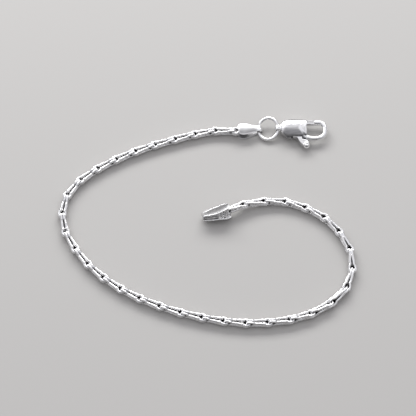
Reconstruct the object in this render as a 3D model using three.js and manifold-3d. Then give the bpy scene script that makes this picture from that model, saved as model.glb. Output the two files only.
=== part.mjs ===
// Silver chain bracelet, laid out open on a flat surface.
// Millimetres, +Z up, the surface is z = 0.
import * as THREE from 'three';
import { mergeVertices } from 'three/addons/utils/BufferGeometryUtils.js';
import Module from 'manifold-3d';

const wasm = await Module();
wasm.setup();

const DEG = Math.PI / 180;

// ---------------------------------------------------------------- dimensions
const MIDDLE = [-0.38, -2.81]; // middle of the laid-out bracelet, moved to the origin

// One link: a long closed wire loop folded in half, fold at the near end, two eyes at the far end.
const WIRE = 0.18;             // wire radius
const PITCH = 4.375;           // link pitch
const LINK_COUNT = 35;
const CROSS_BEND = 0.58;       // eye centre to the bending centre across the eyes
const WIRE_SIDES = 6;
const EYE_RADIUS = 0.70;       // eye arc, centre line
const EYE_LEVEL = 0.19;        // half distance between the two stacked eyes
const FOLD_HALF = 0.197;       // half distance between the two wires of the fold
// Round the fold, from its legs to its closed end: x, half height.
const FOLD_STATIONS = [
  [0.38, 0.68],
  [0.10, 0.55],
  [0.00, 0.26],
];
const EYE_STEPS = 6;
// Legs between the eyes and the fold: x, y, z.
const LINK_LEGS = [
  [3.62, 0.41, 0.22],
  [2.2, 0.34, 0.34],
  [1.0, 0.22, 0.54],
];
const STUB_LEGS = [
  [1.4, 0.50, 0.205],
  [1.0, 0.26, 0.50],
];

// Centre line of the chain: x, y, z.
const ROUTE = [
  [5.73, 18.15, 1.076],
  [1.35, 18.3, 0.89],
  [-7.4, 16.1, 0.875],
  [-15.6, 13.15, 0.87],
  [-23.2, 9.0, 0.87],
  [-26.7, 6.2, 0.87],
  [-29.1, 2.8, 0.87],
  [-29.95, -1.5, 0.87],
  [-29.0, -5.9, 0.87],
  [-24.0, -13.3, 0.87],
  [-17.2, -18.7, 0.87],
  [-9.4, -22.4, 0.87],
  [-0.8, -24.85, 0.88],
  [8.2, -26.0, 0.89],
  [16.8, -25.15, 0.89],
  [21.0, -23.75, 0.89],
  [24.7, -21.5, 0.90],
  [27.65, -18.4, 0.91],
  [29.1, -14.4, 0.91],
  [29.0, -10.1, 0.90],
  [24.6, -2.9, 0.89],
  [16.9, 1.15, 0.89],
  [12.5, 1.5, 0.95],
  [8.2, 0.8, 1.28],
  [4.0, -1.1, 1.76],
  [-0.2, -3.4, 2.1],
];

// Roll of the chain about its own line, degrees: link number, roll.
const ROLL = [
  [19, 0],
  [22, -18],
  [25, -46],
  [28, -71],
  [30, -87],
  [33, -88],
  [34, -84],
  [36, -72],
];

// Folded tag.
const TAG_PLATE = 0.22;        // strip thickness
const STUB_LENGTH = 1.9;       // short link soldered between the plates
const SOLDER_LENGTH = 1.3;
const SOLDER_HALF = 0.8;       // half width
const CLASP_TAG = {
  span: 4.4,                   // chain edge to the centre of the fold
  mouth: 1.05,                 // half height at the chain edge
  fold: 0.62,                  // inside radius of the fold, the jump ring runs through
  reach: 0.55,                 // joint centre to the chain edge
  solder: 0.6,                 // chain edge to the solder
  heading: 5.5,
  roll: 0,
};
// Lies flat on its lower plate.
CLASP_TAG.rise = -Math.atan2(CLASP_TAG.mouth - CLASP_TAG.fold - TAG_PLATE, CLASP_TAG.span) / DEG;
const FREE_TAG = {
  span: 5.05,
  mouth: 1.27,
  fold: 0.55,
  reach: -1.0,
  solder: 2.1,
  heading: 192,
  rise: -6.5,
  roll: 34,
};

// Jump ring.
const RING_WIRE = 0.34;
const RING_STEPS = 32;
const RING_ACROSS = 2.08;      // half width, along the bracelet
const RING_ALONG = 2.36;       // half width, across the bracelet
const RING_LEAN = 14;          // near side down
const RING_RISE = 6.5;         // clasp side up
const RING_SEAT = 0.04;        // wire off the centre of the tag's fold

// Lobster clasp, own frame: x from its eye to the hook, z the middle plane.
const DOME_HALF_WIDTH = 2.42;  // of the rounded cross-section
const DOME_HALF_HEIGHT = 1.3;
const DOME_CENTRE = -0.08;
const DOME_POWER = 0.72;       // 1 is an ellipse, less is squarer
const DOME_STEPS = 28;
const KNOB_X = 0.95;           // eye the jump ring runs through, its axis along y
const KNOB_RADIUS = 0.84;
const KNOB_HOLE = 0.55;        // radius
const KNOB_WIDTH = 1.1;
const NECK = { x: 1.85, length: 0.8, height: 1.3 };
const HOOK_WIRE = 0.54;        // radius
const SLOT_HALF = 0.5;         // half height of the lever's opening
const LEVER_HALF = 0.43;       // half thickness of the lever
const PIVOT = [5.1, 0.75];     // the lever's axis
const PIN_RADIUS = 0.32;
const PIN_CLEARANCE = 0.05;
const BALL_AT = [6.85, -4.0]; // thumb ball at the lever's end
const BALL_RADIUS = 0.68;

// ------------------------------------------------------------------ solids
function toSolid(geometry) {
  const bare = geometry.index ? geometry.toNonIndexed() : geometry.clone();
  bare.deleteAttribute('normal');
  bare.deleteAttribute('uv');
  const merged = mergeVertices(bare, 1e-4);
  return new wasm.Manifold(new wasm.Mesh({
    numProp: 3,
    vertProperties: new Float32Array(merged.attributes.position.array),
    triVerts: new Uint32Array(merged.index.array),
  }));
}

function toGeometry(solid) {
  const mesh = solid.getMesh();
  const geometry = new THREE.BufferGeometry();
  geometry.setAttribute('position', new THREE.BufferAttribute(new Float32Array(mesh.vertProperties), 3));
  geometry.setIndex(new THREE.BufferAttribute(new Uint32Array(mesh.triVerts), 1));
  geometry.computeVertexNormals();
  return geometry;
}

function outline(points) {
  return new THREE.Shape(points.map(([x, y]) => new THREE.Vector2(x, y)));
}

// A flat plate with its middle plane at z = 0.
function plate(points, half) {
  const geometry = new THREE.ExtrudeGeometry(outline(points), { depth: 2 * half, bevelEnabled: false });
  geometry.translate(0, 0, -half);
  return geometry;
}

// A side profile (x, z) given a width along y.
function profileAlongY(points, halfWidth) {
  const geometry = plate(points, halfWidth);
  geometry.rotateX(90 * DEG);
  return geometry;
}

// ------------------------------------------------------------------- frames
// Forward direction and roll to a placement: x forward, y to the left, z up.
function placement(origin, forward, roll) {
  const x = forward.clone().normalize();
  const y = new THREE.Vector3(0, 0, 1).cross(x).normalize();
  const z = x.clone().cross(y);
  const matrix = new THREE.Matrix4().makeBasis(x, y, z);
  matrix.multiply(new THREE.Matrix4().makeRotationX(roll * DEG));
  return matrix.setPosition(origin);
}

function headingVector(heading, rise) {
  return new THREE.Vector3(
    Math.cos(heading * DEG) * Math.cos(rise * DEG),
    Math.sin(heading * DEG) * Math.cos(rise * DEG),
    Math.sin(rise * DEG),
  );
}

// --------------------------------------------------------------------- link
// Stations of one quarter of the loop, from the eye's tip round to the fold's closed end.
function quarterStations(length, legs) {
  const stations = [];
  for (let i = 0; i <= EYE_STEPS / 2; i += 1) {
    const angle = (i / (EYE_STEPS / 2)) * 90 * DEG;
    const x = length + EYE_RADIUS * Math.cos(angle);
    stations.push([x, EYE_RADIUS * Math.sin(angle), EYE_LEVEL]);
  }
  stations.push(...legs);
  for (const [x, level] of FOLD_STATIONS) stations.push([x, FOLD_HALF, level]);
  return stations;
}

// The whole closed loop, mirrored from the quarter.
function loopStations(length, legs) {
  const quarter = quarterStations(length, legs);
  const mirror = (list, sy, sz) => list.map(([x, y, z]) => [x, y * sy, z * sz]);
  const back = [...quarter].reverse();
  return [
    ...quarter,
    ...mirror(back, 1, -1),
    ...mirror(quarter.slice(1), -1, -1),
    ...mirror(back.slice(0, -1), -1, 1),
  ].map(([x, y, z]) => new THREE.Vector3(x, y, z));
}

// A closed curve whose parameter counts the stations evenly.
class StationCurve extends THREE.Curve {
  constructor(stations) {
    super();
    this.stations = stations;
  }

  station(index) {
    const count = this.stations.length;
    return this.stations[((index % count) + count) % count];
  }

  getPoint(t) {
    const position = t * this.stations.length;
    const index = Math.floor(position + 1e-6);
    return this.station(index).clone().lerp(this.station(index + 1), Math.max(0, position - index));
  }

  getPointAt(t) {
    return this.getPoint(t);
  }

  getTangentAt(t) {
    const index = Math.round(t * this.stations.length);
    const before = this.station(index).clone().sub(this.station(index - 1)).normalize();
    const after = this.station(index + 1).clone().sub(this.station(index)).normalize();
    return before.add(after).normalize();
  }
}

function linkGeometry(length, legs) {
  const stations = loopStations(length, legs);
  return new THREE.TubeGeometry(new StationCurve(stations), stations.length, WIRE, WIRE_SIDES, true);
}

// -------------------------------------------------------------------- chain
function rollOf(link) {
  if (link <= ROLL[0][0]) return ROLL[0][1];
  for (let i = 1; i < ROLL.length; i += 1) {
    const [linkA, rollA] = ROLL[i - 1];
    const [linkB, rollB] = ROLL[i];
    if (link <= linkB) return rollA + ((rollB - rollA) * (link - linkA)) / (linkB - linkA);
  }
  return ROLL[ROLL.length - 1][1];
}

// Offset of a joint's bending centre along the link: at the eye's centre when the chain bends
// in the plane of the eyes, near the eye's tip when it bends across it.
function bendOffset(joint) {
  const roll = 0.5 * (rollOf(joint) + rollOf(joint + 1));
  return CROSS_BEND * Math.sin(roll * DEG) ** 2;
}

// Joint centres, each the given chord from the one before, along a smooth curve.
function jointCentres() {
  const curve = new THREE.CatmullRomCurve3(ROUTE.map((p) => new THREE.Vector3(...p)), false, 'centripetal');
  const fine = curve.getPoints(6000);
  const joints = [fine[0]];
  let index = 0;
  for (let link = 1; link <= LINK_COUNT; link += 1) {
    const from = joints[joints.length - 1];
    const chord = PITCH + bendOffset(link) - bendOffset(link - 1);
    while (from.distanceTo(fine[index]) < chord) index += 1;
    joints.push(fine[index]);
  }
  return joints;
}

function linkPlacement(joints, link) {
  const from = joints[link - 1];
  const forward = joints[link].clone().sub(from).normalize();
  const origin = from.clone().addScaledVector(forward, -bendOffset(link - 1));
  return placement(origin, forward, rollOf(link));
}

// --------------------------------------------------------------------- tags
// Own frame: x = 0 at the chain edge, the fold at the tag's span, plates above and below z = 0.
// Half of the plates' outline, from the chain edge to past the fold.
const TAG_HALF_OUTLINE = [
  [0, 0.85],
  [0.22, 1.2],
  [0.7, 1.42],
  [1.3, 1.45],
  [2.3, 1.25],
  [3.3, 0.92],
  [4.1, 0.65],
  [6.4, 0.62],
];

function arcPoints(centreX, radius, steps) {
  const points = [];
  for (let i = 0; i <= steps; i += 1) {
    const angle = (90 - (180 * i) / steps) * DEG;
    points.push([centreX + radius * Math.cos(angle), radius * Math.sin(angle)]);
  }
  return points;
}

function tagStrip(tag) {
  const inside = tag.mouth - TAG_PLATE;
  const outer = [[0, tag.mouth], ...arcPoints(tag.span, tag.fold + TAG_PLATE, 10), [0, -tag.mouth]];
  const inner = [[0, inside], ...arcPoints(tag.span, tag.fold, 10), [0, -inside]];
  const plan = [...TAG_HALF_OUTLINE, ...TAG_HALF_OUTLINE.map(([x, y]) => [x, -y]).reverse()];
  const side = toSolid(profileAlongY([...outer, ...inner.reverse()], 2));
  return side.intersect(toSolid(plate(plan, 3)));
}

function solderBlock(tag) {
  const level = (x) => tag.mouth + ((tag.fold + TAG_PLATE - tag.mouth) * x) / tag.span - TAG_PLATE / 2;
  const [from, to] = [tag.solder, tag.solder + SOLDER_LENGTH];
  const section = [[from, level(from)], [to, level(to)], [to, -level(to)], [from, -level(from)]];
  return toSolid(profileAlongY(section, SOLDER_HALF));
}

function tagPlacement(tag, joint) {
  const forward = headingVector(tag.heading, tag.rise);
  return placement(joint.clone().addScaledVector(forward, tag.reach), forward, tag.roll);
}

// The clasp's tag holds the eye end of a short link.
function claspTag() {
  const stub = linkGeometry(STUB_LENGTH, STUB_LEGS);
  stub.rotateZ(180 * DEG);
  stub.translate(STUB_LENGTH - CLASP_TAG.reach, 0, 0);
  return tagStrip(CLASP_TAG).add(solderBlock(CLASP_TAG)).add(toSolid(stub));
}

// The free tag holds the fold end of a short link, rolled with the chain.
function freeTag(joint, tagAt) {
  const forward = headingVector(FREE_TAG.heading, FREE_TAG.rise);
  const origin = joint.clone().addScaledVector(forward, -bendOffset(LINK_COUNT));
  const stub = linkGeometry(STUB_LENGTH, STUB_LEGS);
  stub.applyMatrix4(placement(origin, forward, rollOf(LINK_COUNT + 1)));
  stub.applyMatrix4(tagAt.clone().invert());
  return tagStrip(FREE_TAG).add(solderBlock(FREE_TAG)).add(toSolid(stub));
}

// ---------------------------------------------------------------- jump ring
// Own frame: the tag's side at the origin, x across to the clasp's side.
function ringPoint(angle) {
  const across = headingVector(0, RING_RISE);
  const along = headingVector(90, RING_LEAN);
  return new THREE.Vector3()
    .addScaledVector(across, RING_ACROSS * (1 + Math.cos(angle * DEG)))
    .addScaledVector(along, RING_ALONG * Math.sin(angle * DEG));
}

function jumpRing() {
  const stations = [];
  for (let i = 0; i < RING_STEPS; i += 1) stations.push(ringPoint((i * 360) / RING_STEPS));
  return new THREE.TubeGeometry(new StationCurve(stations), stations.length, RING_WIRE, 8, true);
}

// -------------------------------------------------------------------- clasp
const BODY_OUTLINE = [
  [1.45, 0.62],
  [1.62, 1.15],
  [1.95, 1.75],
  [2.5, 2.1],
  [3.2, 2.21],
  [5.9, 2.18],
  [6.55, 2.1],
  [6.7, 1.95],
  [6.7, -2.05],
  [6.5, -2.3],
  [5.0, -2.4],
  [3.2, -2.36],
  [2.5, -2.22],
  [1.95, -1.85],
  [1.62, -1.2],
  [1.45, -0.62],
];

// Side profile of the body, x and z.
const BODY_SIDE = [
  [1.4, 0.6],
  [1.75, 0.85],
  [2.3, 1.1],
  [3.0, 1.25],
  [3.8, 1.4],
  [7.0, 1.4],
  [7.0, -1.4],
  [3.8, -1.4],
  [3.0, -1.25],
  [2.3, -1.1],
  [1.75, -0.85],
  [1.4, -0.6],
];

// Opening for the lever, from the gate's side round to the trigger's side.
const SLOT_OUTLINE = [
  [4.35, 2.0],
  [8.0, 2.0],
  [8.0, 0.15],
  [6.1, 0.0],
  [6.1, -3.2],
  [3.55, -3.2],
  [3.7, -1.3],
  [4.05, 0.5],
];

const LEVER_OUTLINE = [
  [8.46, 1.88],
  [8.62, 1.0],
  [7.0, 0.95],
  [6.25, 0.7],
  [5.95, 0.1],
  [5.85, -1.2],
  [5.9, -2.35],
  [6.2, -2.95],
  [6.75, -3.4],
  [6.75, -4.5],
  [6.1, -4.1],
  [5.5, -3.35],
  [5.05, -2.5],
  [4.7, -1.2],
  [4.4, 0.3],
  [4.5, 1.3],
  [4.75, 1.74],
  [5.2, 1.88],
];

const HOOK_PATH = [
  [6.2, -1.95],
  [7.2, -2.18],
  [8.6, -2.26],
  [9.8, -2.05],
  [10.58, -1.4],
  [10.83, -0.4],
  [10.75, 0.5],
  [10.3, 1.2],
  [9.65, 1.46],
  [8.78, 1.47],
];

// Domed cross-section, y and z.
function domeSection() {
  const points = [];
  for (let i = 0; i < DOME_STEPS; i += 1) {
    const angle = (360 * (i + 0.5) * DEG) / DOME_STEPS;
    const [c, s] = [Math.cos(angle), Math.sin(angle)];
    const y = DOME_CENTRE + DOME_HALF_WIDTH * Math.sign(c) * Math.abs(c) ** DOME_POWER;
    points.push([y, DOME_HALF_HEIGHT * Math.sign(s) * Math.abs(s) ** DOME_POWER]);
  }
  return points;
}

function claspShell() {
  const dome = plate(domeSection(), 10);
  dome.rotateZ(90 * DEG).rotateY(90 * DEG);
  return toSolid(plate(BODY_OUTLINE, 3))
    .intersect(toSolid(dome))
    .intersect(toSolid(profileAlongY(BODY_SIDE, 4)));
}

function cylinderAlongY(radius, length, sides) {
  return new THREE.CylinderGeometry(radius, radius, length, sides);
}

function hook() {
  const path = new THREE.CatmullRomCurve3(HOOK_PATH.map(([x, y]) => new THREE.Vector3(x, y, 0)));
  const section = new THREE.Shape();
  section.absarc(0, 0, HOOK_WIRE, 0, 2 * Math.PI, false);
  return new THREE.ExtrudeGeometry(section, { steps: 30, curveSegments: 12, extrudePath: path });
}

function claspBody() {
  const knob = cylinderAlongY(KNOB_RADIUS, KNOB_WIDTH, 24).translate(KNOB_X, 0, 0);
  const knobHole = cylinderAlongY(KNOB_HOLE, 2 * KNOB_WIDTH, 20).translate(KNOB_X, 0, 0);
  const neck = new THREE.BoxGeometry(NECK.length, KNOB_WIDTH, NECK.height).translate(NECK.x, 0, 0);
  const pin = new THREE.CylinderGeometry(PIN_RADIUS, PIN_RADIUS, 4 * SLOT_HALF, 16);
  pin.rotateX(90 * DEG).translate(PIVOT[0], PIVOT[1], 0);
  return claspShell()
    .add(toSolid(hook()))
    .subtract(toSolid(plate(SLOT_OUTLINE, SLOT_HALF)))
    .add(toSolid(pin))
    .add(toSolid(knob))
    .add(toSolid(neck))
    .subtract(toSolid(knobHole));
}

function claspLever() {
  const ball = new THREE.SphereGeometry(BALL_RADIUS, 16, 12).translate(BALL_AT[0], BALL_AT[1], 0);
  const bore = PIN_RADIUS + PIN_CLEARANCE;
  const eye = new THREE.CylinderGeometry(bore, bore, 4 * LEVER_HALF, 20);
  eye.rotateX(90 * DEG).translate(PIVOT[0], PIVOT[1], 0);
  return toSolid(plate(LEVER_OUTLINE, LEVER_HALF)).add(toSolid(ball)).subtract(toSolid(eye));
}

// ----------------------------------------------------------------- assembly
const bracelet = new THREE.Group();
bracelet.name = 'bracelet';

function addPart(name, geometry, matrix) {
  const material = new THREE.MeshStandardMaterial({ color: 0xe4e4e8, roughness: 0.22, metalness: 1.0 });
  const mesh = new THREE.Mesh(geometry, material);
  mesh.name = name;
  mesh.geometry.applyMatrix4(matrix);
  mesh.geometry.translate(-MIDDLE[0], -MIDDLE[1], 0);
  bracelet.add(mesh);
}

const joints = jointCentres();
const claspTagAt = tagPlacement(CLASP_TAG, joints[0]);
const freeTagAt = tagPlacement(FREE_TAG, joints[LINK_COUNT]);
const ringOrigin = new THREE.Vector3(CLASP_TAG.span - RING_SEAT, 0, 0).applyMatrix4(claspTagAt);
const ringAt = new THREE.Matrix4().setPosition(ringOrigin);
const claspOrigin = ringPoint(0).add(ringOrigin).sub(new THREE.Vector3(KNOB_X, 0, 0));
const claspAt = new THREE.Matrix4().setPosition(claspOrigin);

addPart('clasp_body', toGeometry(claspBody()), claspAt);
addPart('clasp_lever', toGeometry(claspLever()), claspAt);
addPart('jump_ring', jumpRing(), ringAt);
addPart('tag_clasp_end', toGeometry(claspTag()), claspTagAt);
for (let link = 1; link <= LINK_COUNT; link += 1) {
  const name = `link_${String(link).padStart(2, '0')}`;
  addPart(name, linkGeometry(PITCH, LINK_LEGS), linkPlacement(joints, link));
}
addPart('tag_free_end', toGeometry(freeTag(joints[LINK_COUNT], freeTagAt)), freeTagAt);

export default bracelet;
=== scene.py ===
import math

import bpy
import bmesh
import numpy as np
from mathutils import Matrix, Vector

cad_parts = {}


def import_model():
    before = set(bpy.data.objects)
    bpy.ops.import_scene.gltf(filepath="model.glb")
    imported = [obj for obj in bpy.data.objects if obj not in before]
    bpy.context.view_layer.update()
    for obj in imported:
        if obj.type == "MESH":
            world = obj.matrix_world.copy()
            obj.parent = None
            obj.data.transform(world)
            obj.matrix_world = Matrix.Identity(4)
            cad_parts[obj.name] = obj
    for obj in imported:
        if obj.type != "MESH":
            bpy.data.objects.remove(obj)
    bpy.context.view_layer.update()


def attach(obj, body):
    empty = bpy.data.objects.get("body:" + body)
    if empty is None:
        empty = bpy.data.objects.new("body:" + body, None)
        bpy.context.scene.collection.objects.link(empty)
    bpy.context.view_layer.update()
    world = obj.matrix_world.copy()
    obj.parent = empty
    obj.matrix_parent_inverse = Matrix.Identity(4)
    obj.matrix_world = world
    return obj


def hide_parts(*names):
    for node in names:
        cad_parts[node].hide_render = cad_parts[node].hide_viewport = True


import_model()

MM = 0.001
DEG = math.pi / 180
SCENE = bpy.context.scene

# ------------------------------------------------------------ dimensions, mm
SHIFT = np.array([0.38, 2.81, 0.0])     # laid-out route to the part's frame

PITCH = 4.375
LINK_COUNT = 35
CROSS_BEND = 0.58               # eye centre to the bending centre across the eyes

# Centre line of the chain: x, y, z.
ROUTE = [
    (5.73, 18.15, 1.076),
    (1.35, 18.3, 0.89),
    (-7.4, 16.1, 0.875),
    (-15.6, 13.15, 0.87),
    (-23.2, 9.0, 0.87),
    (-26.7, 6.2, 0.87),
    (-29.1, 2.8, 0.87),
    (-29.95, -1.5, 0.87),
    (-29.0, -5.9, 0.87),
    (-24.0, -13.3, 0.87),
    (-17.2, -18.7, 0.87),
    (-9.4, -22.4, 0.87),
    (-0.8, -24.85, 0.88),
    (8.2, -26.0, 0.89),
    (16.8, -25.15, 0.89),
    (21.0, -23.75, 0.89),
    (24.7, -21.5, 0.90),
    (27.65, -18.4, 0.91),
    (29.1, -14.4, 0.91),
    (29.0, -10.1, 0.90),
    (24.6, -2.9, 0.89),
    (16.9, 1.15, 0.89),
    (12.5, 1.5, 0.95),
    (8.2, 0.8, 1.28),
    (4.0, -1.1, 1.76),
    (-0.2, -3.4, 2.1),
]

# Roll of the chain about its own line, as in the CAD; here it sets where the joints lie. Link
# number, degrees.
ROLL = [(19, 0), (22, -18), (25, -46), (28, -71), (30, -87), (33, -88), (34, -84), (36, -72)]

# Roll of the look's links, as read from the photo: the same, but starting later and sharper.
LINK_ROLL = [
    (20, 0), (23, -8), (24, -14), (25, -26), (26, -47), (27, -74), (28, -84), (30, -88), (33, -88),
    (34, -84), (36, -72),
]

# One link is a long closed wire loop folded in half: the fold at the near joint, two stacked eyes
# at the far joint. Stations of a quarter of the loop, from the eye's tip round to the fold's
# closed end: x (from the eye's centre in the eye part, from the fold in the others), y, z, wire
# radius.
EYE_PART = [
    (0.64, 0.0, 0.225, 0.23),
    (0.55, 0.34, 0.225, 0.235),
    (0.24, 0.60, 0.225, 0.255),
    (-0.12, 0.64, 0.225, 0.265),
    (-0.38, 0.62, 0.225, 0.270),
    (-0.55, 0.57, 0.215, 0.305),
    (-0.68, 0.46, 0.205, 0.385),
    (-0.86, 0.42, 0.21, 0.400),
    (-1.06, 0.435, 0.24, 0.360),
    (-1.40, 0.415, 0.31, 0.305),
]
MID_PART = [(2.3, 0.380, 0.365, 0.272)]
FOLD_PART = [
    (1.90, 0.360, 0.370, 0.262),
    (1.68, 0.345, 0.360, 0.264),
    (1.50, 0.31, 0.375, 0.275),
    (1.28, 0.29, 0.50, 0.275),
    (0.92, 0.265, 0.62, 0.255),
    (0.42, 0.23, 0.67, 0.22),
    (0.12, 0.20, 0.56, 0.21),
    (0.0, 0.20, 0.24, 0.21),
]
WIRE_SIDES, WIRE_STEPS = 12, 3
# Core painted dark as shade between a link's four strands: ends, radius, shade.
CORE_FROM, CORE_TO, CORE_RADIUS, CORE_SHADE = 1.15, PITCH - 0.85, 0.23, 0.90
# Leaves painted dark as shade in the eye and in the fold: ends and half width.
EYE_LEAF = (PITCH - 0.62, PITCH - 0.10, 0.42)
FOLD_LEAF = (0.80, 1.50, 0.46)
LEAF_HALF_THICKNESS = 0.03

# The short link between a tag's plates.
STUB_LENGTH = 1.9
STUB_EYE = EYE_PART[:5]
STUB_FOLD = [(1.0, 0.26, 0.48, 0.21)] + FOLD_PART[4:]

# Folded tag, own frame: x from the chain edge to the fold, y across, z up. Span is the length of
# its plates, fold the bend's inner radius, reach its start from the joint, level the outer half
# height along x, outline the half width, under the lower plate's share of the crown, and solder
# the ends of its filling with that filling's share of the half width.
TAG_PLATE = 0.22
TAG_CROWN = 0.17                # how far the plates' middle stands out from their rims
CLASP_TAG = dict(
    span=4.4, fold=0.62, reach=0.55, heading=5.5, roll=0, under=0.0, solder=(0.5, 2.1, 0.55),
    level=[(0, 1.05), (4.4, 0.84)],
    outline=[
        (-0.01, 0.55), (0.06, 0.92), (0.24, 1.2), (0.7, 1.42), (1.3, 1.45), (2.3, 1.25),
        (3.3, 0.92), (4.1, 0.66), (6.4, 0.62),
    ],
)
# It lies with its lower plate along the floor.
CLASP_TAG["rise"] = -math.degrees(math.atan2(1.05 - 0.62 - TAG_PLATE, 4.4))
FREE_TAG = dict(
    span=5.25, fold=0.42, reach=-1.0, heading=192, roll=34, rise=-6.5, under=1.0,
    solder=(2.4, 5.58, 0.97),
    level=[
        (0, 1.27), (0.6, 1.20), (1.4, 1.07), (2.2, 0.90), (3.0, 0.77), (3.8, 0.70), (4.6, 0.66),
        (5.25, 0.64),
    ],
    outline=[
        (-0.01, 0.32), (0.06, 0.58), (0.24, 0.88), (0.7, 1.20), (1.4, 1.38), (2.4, 1.38),
        (3.3, 1.38), (4.2, 1.20), (5.0, 0.93), (6.4, 0.88),
    ],
)
# Runs of solder between the free tag's plates at its mouth: points x, y, z, wire radius.
RUNS = [
    [
        (2.45, 0.85, 0.50, 0.34), (2.40, 1.02, 0.10, 0.28), (2.30, 1.05, -0.25, 0.27),
        (2.45, 0.95, -0.60, 0.33),
    ],
    [
        (1.85, 0.90, -0.75, 0.36), (1.60, 1.05, -0.35, 0.27), (1.85, 1.04, 0.05, 0.25),
        (1.70, 0.90, 0.62, 0.33),
    ],
    [
        (1.05, 0.88, 0.72, 0.33), (1.00, 1.02, 0.20, 0.26), (1.20, 1.05, -0.28, 0.30),
        (0.95, 0.90, -0.80, 0.35),
    ],
    [
        (0.50, 0.62, -0.85, 0.30), (0.40, 0.76, -0.40, 0.30), (0.60, 0.74, 0.05, 0.24),
        (0.45, 0.50, 0.60, 0.27),
    ],
]
RIM_RADIUS, RIM_INSET = 0.155, 0.07     # the free tag's turned-up rims

# Jump ring: wire radius, half axes of its centre line, tilt of each axis in degrees, how far it
# sits inside the end of the tag's plates, sideways shift.
RING_WIRE = 0.36
RING_ACROSS, RING_ALONG = 2.08, 2.36
RING_RISE, RING_LEAN = 6.5, 14
RING_SEAT = 0.04
RING_PUSH = np.array([0, 0.15, 0])
RING_POINTS, RING_SIDES = 128, 18
SEAM_ANGLE, SEAM_SWELLING = 128, 0.05

# Lobster clasp, own frame: x from its eye to the hook, z the middle plane.
KNOB_X, KNOB_RADIUS, KNOB_HOLE, KNOB_WIDTH = 0.95, 0.80, 0.52, 1.15
NECK_AT, NECK_RADIUS = (1.62, 0, 0), 0.60
HOLE_LENGTH = 3.2
# Body: x, upper side y, lower side y, half height.
BODY = [
    (1.26, 0.50, -0.25, 0.30),
    (1.36, 0.86, -0.50, 0.55),
    (1.60, 1.30, -0.95, 0.78),
    (1.95, 1.74, -1.50, 0.97),
    (2.45, 2.05, -2.03, 1.12),
    (3.10, 2.18, -2.31, 1.22),
    (4.00, 2.20, -2.39, 1.28),
    (5.00, 2.18, -2.38, 1.29),
    (5.80, 2.15, -2.33, 1.28),
    (6.45, 2.12, -2.24, 1.28),
    (6.78, 2.05, -2.15, 1.27),
    (6.90, 1.95, -2.05, 1.22),
    (6.95, 1.75, -1.85, 1.05),
]
# Exponents of the body's section across and in height: 1 is an ellipse, less is squarer.
BODY_SQUARENESS = (0.62, 0.84)
SCOOP_DEPTH = 0.34
# Space inside the body for the lever, open at the hook and along the trigger's swing.
SLOT_HALF = 0.5
SLOT = [
    (4.35, 1.97), (8.0, 1.97), (8.0, 0.15), (6.1, 0.0), (6.1, -3.2), (3.75, -3.2), (3.75, -2.05),
    (3.0, -1.75), (3.0, -0.9), (3.6, 0.5),
]
# Lever: gate, trigger, and inside the body a skirt that closes the slot.
LEVER_HALF = 0.43
LEVER = [
    (8.46, 1.88), (8.62, 1.0), (7.0, 0.95), (6.25, 0.7), (5.95, 0.1), (5.94, -1.2), (5.96, -2.35),
    (6.05, -2.70), (7.0, -2.88), (7.3, -3.4), (6.75, -4.4), (6.1, -4.05), (5.5, -3.35),
    (5.05, -2.5), (4.85, -2.15), (4.0, -2.08), (4.0, -1.2), (4.15, 0.3), (4.3, 1.3), (4.75, 1.74),
    (5.2, 1.88),
]
BALL_AT, BALL_RADIUS = (6.85, -4.0), 0.68
DIMPLE_SHIFT, DIMPLE_HEIGHT, DIMPLE_RADIUS = (0.10, 0.05), 0.92, 0.42
# Hook: x, y, wire radius.
HOOK = [
    (5.9, -1.72, 0.60), (6.6, -2.00, 0.60), (7.3, -2.22, 0.57), (8.6, -2.34, 0.54),
    (9.8, -2.12, 0.53), (10.58, -1.4, 0.53), (10.83, -0.4, 0.53), (10.75, 0.5, 0.52),
    (10.3, 1.2, 0.52), (9.65, 1.46, 0.54), (9.1, 1.47, 0.57), (8.5, 1.47, 0.56),
]
PIVOT = (5.1, 0.75)
PIN_RADIUS, PIN_HALF, BORE_RADIUS, BORE_HALF = 0.32, 1.0, 0.38, 2.0
GATE_SWEEP = 3.61               # radius the gate's tip needs about the pivot
BODY_VOXEL, LEVER_VOXEL = 0.055, 0.045
SMOOTHING_ROUNDS = 4

# Stage. The world's brightness along y and z, each from -1 to 1.
WORLD_DEPTH = [
    (-1.0, 0.18), (-0.7, 0.36), (-0.4, 0.80), (-0.1, 0.97), (0.5, 1.0), (0.8, 0.85), (1.0, 0.6),
]
WORLD_HEIGHT = [(-0.2, 0.2), (0.05, 0.25), (0.4, 0.8), (0.7, 1.0)]
WORLD_STRENGTH = 0.84
KEY_AT, KEY_SIZE, KEY_POWER = (-40, 345, 250), (600, 150), 2.0
FLOOR_HALF, FLOOR_LEVEL, FLOOR_COLOUR = 2000.0, -0.01, (0.51, 0.50, 0.485, 1)
CAMERA_TARGET, CAMERA_DISTANCE, CAMERA_ELEVATION, CAMERA_LENS = (0.38, 2.81, 0.85), 360, 62, 151.4


# ------------------------------------------------------------------ meshes
def new_object(name, verts, faces):
    """A smooth-shaded mesh object from millimetre vertices."""
    mesh = bpy.data.meshes.new(name)
    metres = np.asarray(verts, float) * MM
    mesh.from_pydata([tuple(v) for v in metres], [], [tuple(f) for f in faces])
    mesh.validate()
    mesh.shade_smooth()
    obj = bpy.data.objects.new(name, mesh)
    SCENE.collection.objects.link(obj)
    return obj


def set_shade(obj, values):
    """How much painted shade the material has at each vertex: 0 plain silver, 1 the darkest painted
    shade, as of a dark hollow.
    """
    layer = obj.data.attributes.new("shade", "FLOAT", "POINT")
    layer.data.foreach_set("value", np.asarray(values, np.float32))


def set_own(obj, verts):
    """The piece's own coordinates in millimetres, for its surface texture."""
    layer = obj.data.attributes.new("own", "FLOAT_VECTOR", "POINT")
    layer.data.foreach_set("vector", np.asarray(verts, np.float32).reshape(-1))


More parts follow.
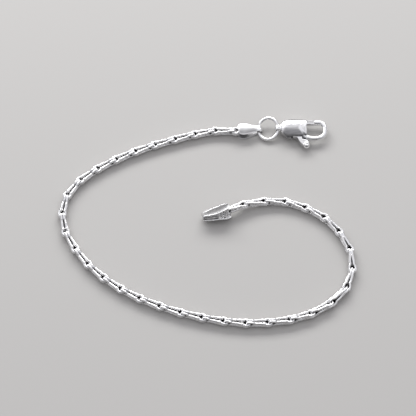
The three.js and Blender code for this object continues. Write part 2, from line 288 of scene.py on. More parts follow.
def grid_faces(rows, cols, wrap_rows=False):
    """Quads of a rows x cols vertex grid whose columns close into rings."""
    r = np.arange(rows if wrap_rows else rows - 1)
    rr, cc = np.meshgrid(r, np.arange(cols), indexing="ij")
    r2, c2 = (rr + 1) % rows, (cc + 1) % cols
    quads = np.stack([rr * cols + cc, r2 * cols + cc, r2 * cols + c2, rr * cols + c2], -1)
    return [tuple(f) for f in quads.reshape(-1, 4)]


def caps(rows, cols):
    """The two end faces of a grid of rings."""
    last = (rows - 1) * cols
    return [tuple(range(cols - 1, -1, -1)), tuple(range(last, last + cols))]


def ring_stack(rings):
    """A closed skin over a stack of equal rings."""
    rows, cols = len(rings), len(rings[0])
    verts = np.array(rings, float).reshape(-1, 3)
    return verts, grid_faces(rows, cols) + caps(rows, cols)


def unit(v):
    return v / np.linalg.norm(v, axis=-1, keepdims=True)


def rotate_about(v, axis, angle):
    c = math.cos(angle)
    return v * c + np.cross(axis, v) * math.sin(angle) + axis * (axis @ v) * (1 - c)


def tube_frames(points, closed):
    """Side and up of each point, carried along the line without twist."""
    n = len(points)
    ahead = np.roll(points, -1, 0) - points
    behind = points - np.roll(points, 1, 0)
    if not closed:
        ahead[-1] = behind[-1]
        behind[0] = ahead[0]
    tangent = unit(unit(ahead) + unit(behind))
    start = np.array([0.0, 0.0, 1.0])
    if abs(tangent[0] @ start) > 0.9:
        start = np.array([0.0, 1.0, 0.0])
    side = np.zeros_like(points)
    side[0] = unit(start - tangent[0] * (start @ tangent[0]))
    for i in range(1, n):
        side[i] = unit(side[i - 1] - tangent[i] * (side[i - 1] @ tangent[i]))
    if closed:
        s = unit(side[-1] - tangent[0] * (side[-1] @ tangent[0]))
        twist = math.atan2(np.cross(s, side[0]) @ tangent[0], s @ side[0])
        for i in range(n):
            side[i] = rotate_about(side[i], tangent[i], twist * i / n)
    return side, np.cross(tangent, side)


def tube(points, radii, sides, closed):
    """Vertices and faces of a round wire along points."""
    points = np.asarray(points, float)
    radii = np.broadcast_to(np.asarray(radii, float), (len(points),))
    side, up = tube_frames(points, closed)
    a = np.arange(sides) * 2 * math.pi / sides
    ring = np.cos(a)[None, :, None] * side[:, None] + np.sin(a)[None, :, None] * up[:, None]
    verts = points[:, None] + radii[:, None, None] * ring
    faces = grid_faces(len(points), sides, wrap_rows=closed)
    if not closed:
        faces += caps(len(points), sides)
    return verts.reshape(-1, 3), faces


def catmull_rom(p0, p1, p2, p3, t):
    """Uniform Catmull-Rom curve between p1 and p2."""
    return 0.5 * (
        2 * p1
        + (p2 - p0) * t
        + (2 * p0 - 5 * p1 + 4 * p2 - p3) * t**2
        + (3 * p1 - p0 - 3 * p2 + p3) * t**3
    )


def spline_closed(stations, steps):
    """The curve through closed stations with any number of columns."""
    p = np.asarray(stations, float)
    around = [np.roll(p, shift, 0) for shift in (1, 0, -1, -2)]
    out = [catmull_rom(*around, k / steps) for k in range(steps)]
    return np.stack(out, 1).reshape(-1, p.shape[1])


def spline_open(stations, steps):
    """The curve through open stations, with its ends carried straight on."""
    p = np.asarray(stations, float)
    p = np.vstack([2 * p[0] - p[1], p, 2 * p[-1] - p[-2]])
    spans = range(1, len(p) - 2)
    out = [catmull_rom(*p[i - 1 : i + 3], k / steps) for i in spans for k in range(steps)]
    return np.array(out + [p[-2]])


# ------------------------------------------------------------------- frames
def placement(origin, forward, roll):
    """4x4 matrix: x forward, y to the left, z up, rolled about x."""
    x = unit(np.asarray(forward, float))
    y = unit(np.cross([0.0, 0.0, 1.0], x))
    z = np.cross(x, y)
    c, s = math.cos(roll * DEG), math.sin(roll * DEG)
    m = np.eye(4)
    m[:3, 0], m[:3, 1], m[:3, 2] = x, c * y + s * z, -s * y + c * z
    m[:3, 3] = origin
    return m


def moved(matrix, verts):
    return np.asarray(verts) @ matrix[:3, :3].T + matrix[:3, 3]


def heading_vector(heading, rise):
    h, r = heading * DEG, rise * DEG
    return np.array([math.cos(h) * math.cos(r), math.sin(h) * math.cos(r), math.sin(r)])


# -------------------------------------------------------------------- chain
def centripetal(points, count):
    """Centripetal Catmull-Rom curve, count + 1 points evenly spaced in its parameter."""
    p = np.asarray(points, float)
    n = len(p)
    out = []
    for i in range(count + 1):
        pos = (n - 1) * i / count
        k = min(int(pos), n - 2)
        w = pos - k
        p1, p2 = p[k], p[k + 1]
        p0 = p[k - 1] if k > 0 else 2 * p[0] - p[1]
        p3 = p[k + 2] if k + 2 < n else 2 * p[-1] - p[-2]
        d0, d1, d2 = (np.sum((b - a) ** 2) ** 0.25 for a, b in ((p0, p1), (p1, p2), (p2, p3)))
        t1 = ((p1 - p0) / d0 - (p2 - p0) / (d0 + d1) + (p2 - p1) / d1) * d1
        t2 = ((p2 - p1) / d1 - (p3 - p1) / (d1 + d2) + (p3 - p2) / d2) * d1
        out.append(
            p1
            + t1 * w
            + (3 * (p2 - p1) - 2 * t1 - t2) * w**2
            + (2 * (p1 - p2) + t1 + t2) * w**3
        )
    return np.array(out)


def roll_of(link, table=ROLL):
    return float(np.interp(link, [r[0] for r in table], [r[1] for r in table]))


def bend_offset(joint):
    """Offset of a joint's bending centre along the link: at the eye's centre where the chain bends
    in the plane of the eyes, near the eye's tip where it bends across it."""
    return CROSS_BEND * math.sin(0.5 * (roll_of(joint) + roll_of(joint + 1)) * DEG) ** 2


def joint_centres():
    """The links' joints, each its chord from the one before, along the route."""
    fine = centripetal(ROUTE, 6000)
    joints, index = [fine[0]], 0
    for link in range(1, LINK_COUNT + 1):
        chord = PITCH + bend_offset(link) - bend_offset(link - 1)
        while np.linalg.norm(fine[index] - joints[-1]) < chord:
            index += 1
        joints.append(fine[index])
    return np.array(joints) + SHIFT


JOINTS = joint_centres()


def link_placement(link):
    start, end = JOINTS[link - 1], JOINTS[link]
    forward = unit(end - start)
    return placement(start - forward * bend_offset(link - 1), forward, roll_of(link, LINK_ROLL))


def mirrored_loop(quarter):
    """The closed loop of a quarter whose ends lie on the two mirror planes."""
    quarter = np.array(quarter)
    back = quarter[::-1]

    def mirror(part, sy, sz):
        return part * np.array([1, sy, sz, 1])

    return np.vstack(
        [quarter, mirror(back, 1, -1), mirror(quarter[1:], -1, -1), mirror(back[:-1], -1, 1)]
    )


def link_quarter(length, eye, middle, fold):
    """Stations of a quarter of a link's loop, of the given length from fold to eye."""
    return [(length + x, y, z, r) for x, y, z, r in eye] + middle + fold


def loop_tube(stations, steps):
    """Wire mesh of a loop and its painted shade: dark where the wire faces the inside of the
    bundle.
    """
    line = spline_closed(stations, steps)
    verts, faces = tube(line[:, :3], line[:, 3], WIRE_SIDES, closed=True)
    centre = np.repeat(line[:, :3], WIRE_SIDES, axis=0)
    out = unit(verts - centre)
    inward = -centre * np.array([0, 1, 1])
    facing = np.sum(out * unit(inward), axis=1)
    shade = np.clip((facing - 0.45) / 0.5, 0, 1) * 0.85
    return verts, faces, shade


def painted_shade_leaf(x_from, x_to, half, upright):
    """A small leaf painted dark as shade, which closes the view through an eye or a fold, in its
    middle plane.
    """
    corners = []
    for level in (-LEAF_HALF_THICKNESS, LEAF_HALF_THICKNESS):
        for x, w in ((x_from, 0.7), ((x_from + x_to) / 2, 1.0), (x_to, 0.8)):
            for side in (-1, 1):
                y, z = side * w * half, level
                corners.append((x, -z, y) if upright else (x, y, z))
    faces = [
        (0, 1, 3, 2), (2, 3, 5, 4), (6, 8, 9, 7), (8, 10, 11, 9), (0, 2, 8, 6), (2, 4, 10, 8),
        (1, 7, 9, 3), (3, 9, 11, 5), (0, 6, 7, 1), (4, 5, 11, 10),
    ]
    return np.array(corners), faces


def link_parts():
    """Wire loop, the core painted dark as shade between its four strands, and the leaves painted
    dark as shade in its eye and fold.
    """
    quarter = link_quarter(PITCH, EYE_PART, MID_PART, FOLD_PART)
    line = [(x, 0, 0) for x in np.linspace(CORE_FROM, CORE_TO, 8)]
    core = tube(line, CORE_RADIUS, 8, closed=False)
    return joined([
        loop_tube(mirrored_loop(quarter), WIRE_STEPS),
        (*core, CORE_SHADE),
        (*painted_shade_leaf(*EYE_LEAF, upright=False), 1.0),
        (*painted_shade_leaf(*FOLD_LEAF, upright=True), 1.0),
    ])


def chain():
    verts, faces, shade = link_parts()
    all_verts, all_faces = [], []
    for link in range(1, LINK_COUNT + 1):
        all_verts.append(moved(link_placement(link), verts))
        base = len(verts) * (link - 1)
        all_faces += [tuple(i + base for i in f) for f in faces]
    obj = new_object("chain", np.vstack(all_verts), all_faces)
    set_shade(obj, np.tile(shade, LINK_COUNT))
    set_own(obj, np.tile(verts, (LINK_COUNT, 1)))
    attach(obj, "bracelet")
    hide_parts(*[f"link_{i:02d}" for i in range(1, LINK_COUNT + 1)])
    return obj


# --------------------------------------------------------------------- tags
def along(table, x):
    """A value of a table of (x, value) rows."""
    return np.interp(x, [row[0] for row in table], [row[1] for row in table])


def tag_path(tag):
    """Middle line of the bent strip: x, z, outward normal x and z."""
    radius = tag["fold"] + TAG_PLATE / 2
    top = []
    edge, plate = [-0.01, 0.03, 0.1, 0.24, 0.45], np.linspace(0.7, tag["span"] - 0.15, 24)
    for x in np.concatenate([edge, plate]):
        rise = (along(tag["level"], x + 0.3) - along(tag["level"], x - 0.3)) / 0.6
        normal = unit(np.array([-rise, 1.0]))
        top.append((x, along(tag["level"], x) - TAG_PLATE / 2, *normal))
    bend = []
    for k in range(15):
        a = (90 - 180 * k / 14) * DEG
        c, si = math.cos(a), math.sin(a)
        bend.append((tag["span"] + radius * c, radius * si, c, si))
    return top + bend + [(x, -z, nx, -nz) for x, z, nx, nz in top[::-1]]


def tag_strip(tag, sides=28):
    """Bent, slightly crowned strip with rounded rims."""
    rows = []
    for x, z, nx, nz in tag_path(tag):
        half = along(tag["outline"], x)
        flat = min(1.0, max(0.0, (tag["span"] - 0.2 - x) / 1.2)) * min(1.0, (x + 0.35) / 0.6)
        crown = TAG_CROWN * flat * (1 if nz > 0 else tag["under"])
        thick = TAG_PLATE / 2 * (0.55 if x < 0.0 else 0.85 if x < 0.05 else 1.0)
        row = []
        for k in range(sides):
            a = 2 * math.pi * k / sides
            c, si = math.cos(a), math.sin(a)
            across = math.copysign(abs(c) ** 0.55, c)
            out = thick * math.copysign(abs(si) ** 0.75, si)
            out += crown * (0.65 - abs(across) ** 1.5)
            row.append((x + nx * out, half * across, z + nz * out))
        rows.append(row)
    return ring_stack(rows)


def solder_fill(tag):
    """Solder between the plates, sunk a little behind their rims; its darkness is painted shade,
    set where it is used.
    """
    start, end, share = tag["solder"]
    rows = []
    for x in np.linspace(start, end, 12):
        half = share * along(tag["outline"], x) * (0.8 if x in (start, end) else 1)
        level = along(tag["level"], x) - TAG_PLATE + 0.05
        if x > tag["span"]:
            level = math.sqrt(max(0.01, tag["fold"] ** 2 - (x - tag["span"]) ** 2)) + 0.03
        row = []
        for k in range(16):
            a = 2 * math.pi * k / 16
            c, si = math.cos(a), math.sin(a)
            y = half * math.copysign(abs(c) ** 0.6, c)
            row.append((x, y - 0.10 * c * (1 - abs(si)), level * math.copysign(abs(si) ** 0.5, si)))
        rows.append(row)
    return ring_stack(rows)


def joined(parts):
    """One mesh of several (vertices, faces, shade); a shade may be one number."""
    verts, faces, shade, base = [], [], [], 0
    for part_verts, part_faces, part_shade in parts:
        verts.append(np.asarray(part_verts, float))
        faces += [tuple(i + base for i in f) for f in part_faces]
        shade.append(np.broadcast_to(np.asarray(part_shade, float), (len(part_verts),)))
        base += len(part_verts)
    return np.vstack(verts), faces, np.concatenate(shade)


def tag_placement(tag, joint):
    forward = heading_vector(tag["heading"], tag["rise"])
    return placement(joint + forward * tag["reach"], forward, tag["roll"])


def put_tag(name, parts, matrix):
    verts, faces, shade = joined(parts)
    obj = new_object(name, moved(matrix, verts), faces)
    set_shade(obj, shade)
    set_own(obj, verts)
    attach(obj, "bracelet")
    return obj


def stub():
    """The short link that is soldered between a tag's plates."""
    return loop_tube(mirrored_loop(link_quarter(STUB_LENGTH, STUB_EYE, [], STUB_FOLD)), 4)


def strip_shade(verts, tag, face):
    """Painted shade: inner faces dark, outer faces shaded by face(t) but for an unshaded rim that
    reads bright; t is -1 to 1 across.
    """
    x, t = verts[:, 0], verts[:, 1] / along(tag["outline"], verts[:, 0])
    inside = np.where(x < tag["span"], along(tag["level"], x) - TAG_PLATE / 2, tag["fold"])
    rim = np.clip((0.90 - np.abs(t)) / 0.10, 0, 1)
    ends = np.clip((x - 0.12) / 0.15, 0, 1) * np.clip((tag["span"] - 0.1 - x) / 0.5, 0, 1)
    return np.where(np.abs(verts[:, 2]) < inside, 0.5, rim * ends * face(t))


# Painted shade on the clasp tag's outer faces, heavier towards one side.
def clasp_tag_face(t):
    return 0.55 + 0.25 * np.clip((0.1 - t) / 0.3, 0, 1)


# Painted shade, even over the free tag's outer faces.
def free_tag_face(t):
    return 0.85


def clasp_tag():
    strip = tag_strip(CLASP_TAG)
    verts, faces, shade = stub()
    verts = verts * np.array([-1, -1, 1]) + np.array([STUB_LENGTH - CLASP_TAG["reach"], 0, 0])
    obj = put_tag(
        "clasp_end_tag",
        [
            (*strip, strip_shade(strip[0], CLASP_TAG, clasp_tag_face)),
            (verts, faces, shade),
            # The filling is darkened with painted shade.
            (*solder_fill(CLASP_TAG), 0.8),
        ],
        tag_placement(CLASP_TAG, JOINTS[0]),
    )
    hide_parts("tag_clasp_end")
    return obj


def rim_bead(tag, side):
    """The turned-up rim of the bent strip on one side."""
    path = tag_path(tag)[2:-2]
    points = [(x, side * (along(tag["outline"], x) - RIM_INSET), z) for x, z, _, _ in path]
    return tube(points, RIM_RADIUS, 10, closed=False)


def solder_run(points):
    line = spline_open(points, 4)
    return tube(line[:, :3], line[:, 3], 10, closed=False)


def free_tag():
    matrix = tag_placement(FREE_TAG, JOINTS[-1])
    strip = tag_strip(FREE_TAG)
    verts, faces, shade = stub()
    forward = heading_vector(FREE_TAG["heading"], FREE_TAG["rise"])
    stub_start = JOINTS[-1] - forward * bend_offset(LINK_COUNT)
    stub_at = placement(stub_start, forward, roll_of(LINK_COUNT + 1))
    verts = moved(np.linalg.inv(matrix), moved(stub_at, verts))
    obj = put_tag(
        "free_end_tag",
        [
            (*strip, strip_shade(strip[0], FREE_TAG, free_tag_face)),
            (verts, faces, shade * 0.6),
            # The filling is darkened with painted shade.
            (*solder_fill(FREE_TAG), 0.55),
            *[(*solder_run(points), 0.0) for points in RUNS],
            *[(*rim_bead(FREE_TAG, side), 0.0) for side in (-1, 1)],
        ],
        matrix,
    )
    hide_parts("tag_free_end")
    return obj


# ---------------------------------------------------------------- jump ring
def ring_point(angle):
    """A point of the ring's slightly oval centre line; 180 degrees is where it meets the tag."""
    a = angle * DEG
    side = heading_vector(0, RING_RISE) * RING_ACROSS
    return side * (1 + math.cos(a)) + heading_vector(90, RING_LEAN) * RING_ALONG * math.sin(a)


RING_SEAT_AT = [[CLASP_TAG["span"] - RING_SEAT, 0, 0]]
RING_ORIGIN = moved(tag_placement(CLASP_TAG, JOINTS[0]), RING_SEAT_AT)[0]
CLASP_ORIGIN = RING_ORIGIN + ring_point(0) - np.array([KNOB_X, 0, 0])


def jump_ring():
    """Round wire, with the slight swelling of a soldered seam and painted shade for a groove beside
    it.
    """
    angles = np.arange(RING_POINTS) * 360 / RING_POINTS
    gap = (angles - SEAM_ANGLE + 180) % 360 - 180
    radii = RING_WIRE * (1 + SEAM_SWELLING * np.exp(-((gap / 3.0) ** 2)))
    verts, faces = tube([ring_point(a) for a in angles], radii, RING_SIDES, closed=True)
    obj = new_object("closed_ring", verts + RING_ORIGIN + RING_PUSH, faces)
    # Painted shade in a band beside the seam, for its groove.
    painted_groove_shade = np.exp(-(((gap - 3.5) / 1.4) ** 2)) * 0.35
    set_shade(obj, np.repeat(painted_groove_shade, RING_SIDES))
    set_own(obj, verts)
    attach(obj, "bracelet")
    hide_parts("jump_ring")
    return obj


# -------------------------------------------------------------------- clasp
def prism(outline, half):
    """A polygon in x and y, extruded from -half to half."""
    n = len(outline)
    verts = [(x, y, -half) for x, y in outline] + [(x, y, half) for x, y in outline]
    before = [outline[-1]] + outline[:-1]
    area = sum(x0 * y1 - x1 * y0 for (x0, y0), (x1, y1) in zip(before, outline))
    faces = [tuple(range(n - 1, -1, -1)), tuple(range(n, 2 * n))]
    faces += [(i, (i + 1) % n, n + (i + 1) % n, n + i) for i in range(n)]
    if area < 0:
        faces = [f[::-1] for f in faces]
    return np.array(verts), faces


def circle(radius, centre=PIVOT, corners=12):
    """A regular polygon, for the pin and its bore."""
    angles = [2 * math.pi * k / corners for k in range(corners)]
    return [(centre[0] + radius * math.cos(a), centre[1] + radius * math.sin(a)) for a in angles]


def gate_room():
    """What the swing of the gate's tip takes away from the end of the hook."""
    x, y = PIVOT
    angles = [a * DEG for a in range(-4, 29, 4)]
    sweep = [(x + GATE_SWEEP * math.cos(a), y + GATE_SWEEP * math.sin(a)) for a in angles]
    return [(7.6, 0.5)] + sweep + [(7.6, 2.4)]


def ball(centre, radius, rings=16, sides=24):
    rows = []
    for i in range(1, rings):
        a = math.pi * i / rings
        for k in range(sides):
            b = 2 * math.pi * k / sides
            rows.append((math.sin(a) * math.cos(b), math.sin(a) * math.sin(b), math.cos(a)))
    verts = np.array([(0, 0, 1)] + rows + [(0, 0, -1)]) * radius + np.array(centre)
    faces = [(0, 1 + k, 1 + (k + 1) % sides) for k in range(sides)]
    for i in range(rings - 2):
        for k in range(sides):
            a, b = 1 + i * sides + k, 1 + i * sides + (k + 1) % sides
            faces.append((a, a + sides, b + sides, b))
    last = 1 + (rings - 2) * sides
    faces += [(len(verts) - 1, last + (k + 1) % sides, last + k) for k in range(sides)]
    return verts, faces


def barrel(x, radius, width, sides=32):
    """A cylinder along y with rounded edges."""
    edge = [(0.5, 0.001), (0.5, 0.80), (0.42, 0.93), (0.22, 1.0)]
    profile = [(-y, r) for y, r in edge] + edge[::-1]
    angles = [2 * math.pi * k / sides for k in range(sides)]
    verts, faces = ring_stack([
        [(x + r * radius * math.cos(a), y * width, r * radius * math.sin(a)) for a in angles]
        for y, r in profile
    ])
    return verts, [f[::-1] for f in faces]


def signed_power(value, power):
    return math.copysign(abs(value) ** power, value)


def dome(sides=56):
    """The clasp's domed body with the scoop on its lower side."""
    across, upward = BODY_SQUARENESS
    angles = [2 * math.pi * (k + 0.5) / sides for k in range(sides)]
    rows = []
    for x, top, bottom, height in spline_open(BODY, 5):
        middle, half = (top + bottom) / 2, (top - bottom) / 2
        rows.append([
            (
                x,
                middle + half * signed_power(math.cos(a), across),
                height * signed_power(math.sin(a), upward),
            )
            for a in angles
        ])
    verts, faces = ring_stack(rows)
    # The lower side falls away in a scoop; a wedge beside the hook's root stays high.
    edge = 5.25 + np.clip(-0.53 - verts[:, 1], 0, None) * 0.83
    wedge = np.clip((verts[:, 0] - edge) / 0.45, 0, 1)
    wedge = wedge * wedge * (3 - 2 * wedge)
    low = np.clip((-0.35 - verts[:, 1]) / 2.0, 0, 1)
    scoop = SCOOP_DEPTH * low * (1 - wedge) * np.clip((verts[:, 0] - 1.5) / 1.2, 0, 1)
    verts[:, 2] -= np.sign(verts[:, 2]) * np.minimum(scoop, np.abs(verts[:, 2]) * 0.5)
    return verts, faces


def temporary(verts, faces):
    """An object in millimetres, used only to make another and then removed."""
    mesh = bpy.data.meshes.new("temporary")
    mesh.from_pydata([tuple(v) for v in verts], [], [tuple(f) for f in faces])
    built = bmesh.new()
    built.from_mesh(mesh)
    bmesh.ops.recalc_face_normals(built, faces=built.faces)
    built.to_mesh(mesh)
    built.free()
    obj = bpy.data.objects.new("temporary", mesh)
    SCENE.collection.objects.link(obj)
    return obj


def melted(parts, cutters, voxel):
    """Overlapping solids made one skin, less the cutters, with its edges softened at the end."""
    base = temporary(*joined([(v, f, 0) for v, f in parts])[:2])
    scrap = [base]

    def remesh():
        modifier = base.modifiers.new("remesh", "REMESH")
        modifier.mode = "VOXEL"
        modifier.voxel_size = voxel

    remesh()
    for verts, faces in cutters:
        cutter = temporary(verts, faces)
        scrap.append(cutter)
        cut = base.modifiers.new("cut", "BOOLEAN")
        cut.operation = "DIFFERENCE"
        cut.object = cutter
    remesh()
    soft = base.modifiers.new("soft", "SMOOTH")
    soft.factor = 0.5
    soft.iterations = SMOOTHING_ROUNDS
    bpy.context.view_layer.update()
    evaluated = base.evaluated_get(bpy.context.evaluated_depsgraph_get())
    mesh = evaluated.to_mesh()
    verts = np.empty(len(mesh.vertices) * 3)
    mesh.vertices.foreach_get("co", verts)
    faces = [tuple(p.vertices) for p in mesh.polygons]
    evaluated.to_mesh_clear()
    for obj in scrap:
        data = obj.data
        bpy.data.objects.remove(obj)
        bpy.data.meshes.remove(data)
    return verts.reshape(-1, 3), faces


def hook():
    line = spline_open([(x, y, 0, r) for x, y, r in HOOK], 8)
    return tube(line[:, :3], line[:, 3], 24, closed=False)


def patch_shade(verts):
    """Painted shade: darker towards the lower edge of the body's brushed scoop, and in the channel
    by the hook.
    """
    x, y, z = verts.T
    edge = 5.3 + np.clip(-0.53 - y, 0, None) * 0.80
    across = np.interp(-y, [-1.7, -1.1, -0.5, 0.1, 0.9], [0.0, 0.15, 0.38, 0.75, 1.0])
    hook_end = np.clip((edge - x) / 0.30, 0, 1)
    eye_end = np.clip((x - 1.75 - 0.25 * np.abs(y + 1.3)) / 0.35, 0, 1)
    low = np.clip((2.9 - np.abs(x - 4.3)) / 0.2, 0, 1) * np.clip((z + 0.62) / 0.1, 0, 1)
    channel = np.clip((x - edge - 0.45) / 0.25, 0, 1) * np.clip((6.68 - x) / 0.12, 0, 1)
    channel = channel * np.clip((1.2 - y) / 0.4, 0, 1) * (np.abs(z) > 0.6)
    return np.maximum(across * (hook_end * eye_end) * low, 0.45 * channel)


def clasp_body():
    knob = barrel(KNOB_X, KNOB_RADIUS, KNOB_WIDTH)
    neck = ball(NECK_AT, NECK_RADIUS)
    hole = barrel(KNOB_X, KNOB_HOLE, HOLE_LENGTH)
    slot = prism(SLOT, SLOT_HALF)
    room = prism(gate_room(), 1.0)
    skin = melted([dome(), hook(), knob, neck], [slot, room, hole], BODY_VOXEL)
    pin = prism(circle(PIN_RADIUS), PIN_HALF)
    verts, faces, shade = joined([(*skin, patch_shade(skin[0])), (*pin, 0)])
    obj = new_object("clasp_shell", verts + CLASP_ORIGIN, faces)
    set_shade(obj, shade)
    set_own(obj, verts)
    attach(obj, "bracelet")
    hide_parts("clasp_body")
    return obj


def lever():
    thumb = ball((*BALL_AT, 0), BALL_RADIUS)
    dimple_x, dimple_y = BALL_AT[0] + DIMPLE_SHIFT[0], BALL_AT[1] + DIMPLE_SHIFT[1]
    dimple = ball((dimple_x, dimple_y, DIMPLE_HEIGHT), DIMPLE_RADIUS)
    bore = prism(circle(BORE_RADIUS), BORE_HALF)
    verts, faces = melted([prism(LEVER, LEVER_HALF), thumb], [dimple, bore], LEVER_VOXEL)
    # Painted shade in the dimple, on the trigger's heel and on the gate but for its edges.
    x, y, z = verts.T
    away = np.hypot(x - dimple_x, y - dimple_y)
    painted_shade = np.clip((0.36 - away) / 0.12, 0, 1) * (z > 0.3)
    heel = np.clip((x - 5.75) / 0.3, 0, 1) * np.clip((y + 3.35) / 0.25, 0, 1)
    heel = heel * (y < -1) * (away > 0.7)
    gate = np.clip((8.55 - x) / 0.15, 0, 1) * np.clip((0.40 - np.abs(y - 1.55)) / 0.12, 0, 1)
    gate = gate * (x > 6.5)
    shade = np.maximum(painted_shade * 0.7, np.maximum(heel * 0.45, gate * 0.9))
    obj = new_object("thumb_lever", verts + CLASP_ORIGIN, faces)
    set_shade(obj, shade)
    set_own(obj, verts)
    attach(obj, "lever")
    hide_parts("clasp_lever")
    return obj


# ---------------------------------------------------------------- materials
class Shader:
    """A short way to build a node material."""

    def __init__(self, name):
        self.mat = bpy.data.materials.new(name)
        self.mat.use_nodes = True
        self.nodes, self.links = self.mat.node_tree.nodes, self.mat.node_tree.links
        self.bsdf = self.nodes["Principled BSDF"]

    def add(self, kind, **inputs):
        node = self.nodes.new(kind)
        for key, value in inputs.items():
            self.put(node.inputs[key.replace("_", " ")], value)
        return node

    def put(self, socket, value):
        if isinstance(value, bpy.types.NodeSocket):
            self.links.new(value, socket)
        else:
            socket.default_value = value

    def attribute(self, name):
        node = self.nodes.new("ShaderNodeAttribute")
        node.attribute_name = name
        return node

    def noise(self, vector, scale, detail, stretch=(1, 1, 1)):
        spread = self.add("ShaderNodeMapping", Vector=vector, Scale=stretch).outputs["Vector"]
        texture = self.add("ShaderNodeTexNoise", Vector=spread, Scale=scale, Detail=detail)
        return texture.outputs["Fac"]

    def span(self, value, low, high, from_low=0.0, from_high=1.0):
        """Value from from_low to from_high, spread over low to high."""
        ends = dict(From_Min=from_low, From_Max=from_high, To_Min=low, To_Max=high)
        return self.add("ShaderNodeMapRange", Value=value, **ends).outputs["Result"]

    def maths(self, operation, a, b):
        node = self.nodes.new("ShaderNodeMath")
        node.operation = operation
        self.put(node.inputs[0], a)
        self.put(node.inputs[1], b)
        return node.outputs[0]

    def mix(self, factor, a, b):
        node = self.nodes.new("ShaderNodeMix")
        node.data_type = "RGBA"
        for index, value in ((0, factor), (6, a), (7, b)):
            self.put(node.inputs[index], value)
        return node.outputs[2]


def silver(name, roughness, bump, streaks, dark, dark_roughness):
    """Silver with handling marks and faint tarnish, and painted shade that darkens hollows and
    faces where the shade is set.
    """
    s = Shader(name)
    s.bsdf.inputs["Metallic"].default_value = 1.0
    own = s.attribute("own").outputs["Vector"]
    shade = s.attribute("shade").outputs["Fac"]
    tarnish = s.span(s.noise(own, 0.9, 4), 0.0, 1.0, 0.42, 0.68)
    unshaded_silver = s.mix(tarnish, (0.945, 0.945, 0.955, 1), (0.86, 0.85, 0.845, 1))
    grain = s.noise(own, 1.0, 5, streaks)
    lines = s.span(grain, 0.0, 1.0, 0.35, 0.65)
    darker, lighter = (dark * f for f in (0.7, 1.33))
    # Colour of the painted shade: the dark tone, with brushed streaks.
    painted_shade = s.mix(lines, (darker, darker, dark * 0.74, 1), (dark * 1.35, lighter, lighter, 1))
    s.put(s.bsdf.inputs["Base Color"], s.mix(shade, unshaded_silver, painted_shade))
    marks = s.span(s.noise(own, 3.0, 6), roughness * 0.6, roughness * 1.5)
    rough = s.maths("ADD", marks, s.maths("MULTIPLY", shade, dark_roughness))
    s.put(s.bsdf.inputs["Roughness"], rough)
    fine = s.maths("ADD", s.noise(own, 10.0, 4), grain)
    bumps = s.add("ShaderNodeBump", Height=fine, Strength=bump, Distance=0.00004)
    s.put(s.bsdf.inputs["Normal"], bumps.outputs["Normal"])
    return s.mat


# ---------------------------------------------------------------- assembly
# Streaks are noise scales along the piece's x, y and z: brushed along x where x is the smallest.
chain_silver = silver(
    "chain_silver",
    roughness=0.16, bump=0.25, streaks=(2, 9, 9), dark=0.035, dark_roughness=0.30,
)
clasp_silver = silver(
    "clasp_silver",
    roughness=0.13, bump=0.20, streaks=(0.5, 11, 4), dark=0.32, dark_roughness=0.25,
)
lever_silver = silver(
    "lever_silver",
    roughness=0.13, bump=0.20, streaks=(0.8, 1.6, 1.2), dark=0.22, dark_roughness=0.25,
)
tag_silver = silver(
    "tag_silver",
    roughness=0.20, bump=0.35, streaks=(0.6, 12, 4), dark=0.22, dark_roughness=0.25,
)

for piece, material in (
    (chain(), chain_silver),
    (clasp_tag(), tag_silver),
    (free_tag(), tag_silver),
    (jump_ring(), clasp_silver),
    (clasp_body(), clasp_silver),
    (lever(), lever_silver),
):
    piece.data.materials.append(material)


# ------------------------------------------------------------------- studio
def studio_floor():
    material = bpy.data.materials.new("floor")
    material.use_nodes = True
    surface = material.node_tree.nodes["Principled BSDF"]
    surface.inputs["Base Color"].default_value = FLOOR_COLOUR
    surface.inputs["Roughness"].default_value = 0.9
    corners = [(-1, -1), (1, -1), (1, 1), (-1, 1)]
    verts = [(x * FLOOR_HALF, y * FLOOR_HALF, FLOOR_LEVEL) for x, y in corners]
    floor = new_object("floor", verts, [(0, 1, 2, 3)])
    floor.data.materials.append(material)


def aimed(name, data, place, target):
    """A light or camera at a place in millimetres, turned to its target."""
    obj = bpy.data.objects.new(name, data)
    SCENE.collection.objects.link(obj)
    obj.location = place * MM
    obj.rotation_mode = "QUATERNION"
    obj.rotation_quaternion = (target - place).to_track_quat("-Z", "Y")
    return obj


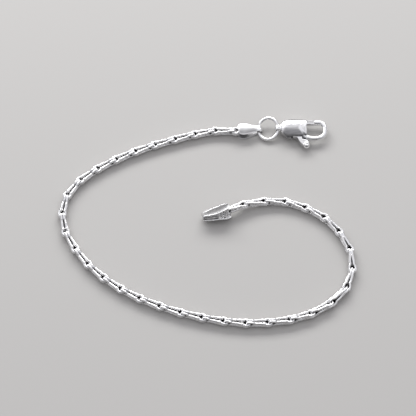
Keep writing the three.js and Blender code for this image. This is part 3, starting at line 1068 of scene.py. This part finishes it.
def key_light():
    light = bpy.data.lights.new("key", "AREA")
    light.shape = "RECTANGLE"
    light.size, light.size_y = KEY_SIZE[0] * MM, KEY_SIZE[1] * MM
    light.energy = KEY_POWER
    aimed("key", light, Vector(KEY_AT), Vector((0, 0, 0)))


def camera():
    cam = bpy.data.cameras.new("camera")
    target, elevation = Vector(CAMERA_TARGET), CAMERA_ELEVATION * DEG
    place = target + Vector((0, -math.cos(elevation), math.sin(elevation))) * CAMERA_DISTANCE
    cam.sensor_width = 36
    cam.lens = CAMERA_LENS
    cam.clip_start = 0.01
    cam.clip_end = 20
    SCENE.camera = aimed("camera", cam, place, target)


def world():
    """A bright sky over the far side, a dark room on the near side and low all round."""
    w = bpy.data.worlds.new("world")
    SCENE.world = w
    w.use_nodes = True
    nodes, links = w.node_tree.nodes, w.node_tree.links
    coords = nodes.new("ShaderNodeTexCoord")
    split = nodes.new("ShaderNodeSeparateXYZ")
    links.new(coords.outputs["Generated"], split.inputs["Vector"])

    def ramp(axis, stops):
        mapper = nodes.new("ShaderNodeMapRange")
        mapper.inputs["From Min"].default_value = -1
        mapper.inputs["From Max"].default_value = 1
        links.new(split.outputs[axis], mapper.inputs["Value"])
        node = nodes.new("ShaderNodeValToRGB")
        links.new(mapper.outputs["Result"], node.inputs["Fac"])
        while len(node.color_ramp.elements) < len(stops):
            node.color_ramp.elements.new(0.5)
        for element, (place, value) in zip(node.color_ramp.elements, stops):
            element.position = (place + 1) / 2
            element.color = (value, value, value * 1.02, 1)
        return node.outputs["Color"]

    depth = ramp("Y", WORLD_DEPTH)
    height = ramp("Z", WORLD_HEIGHT)
    both = nodes.new("ShaderNodeMix")
    both.data_type = "RGBA"
    both.blend_type = "MULTIPLY"
    both.inputs[0].default_value = 1
    links.new(depth, both.inputs[6])
    links.new(height, both.inputs[7])
    background = nodes["Background"]
    links.new(both.outputs[2], background.inputs["Color"])
    background.inputs["Strength"].default_value = WORLD_STRENGTH


studio_floor()
camera()
world()
key_light()
SCENE.view_settings.view_transform = "Standard"
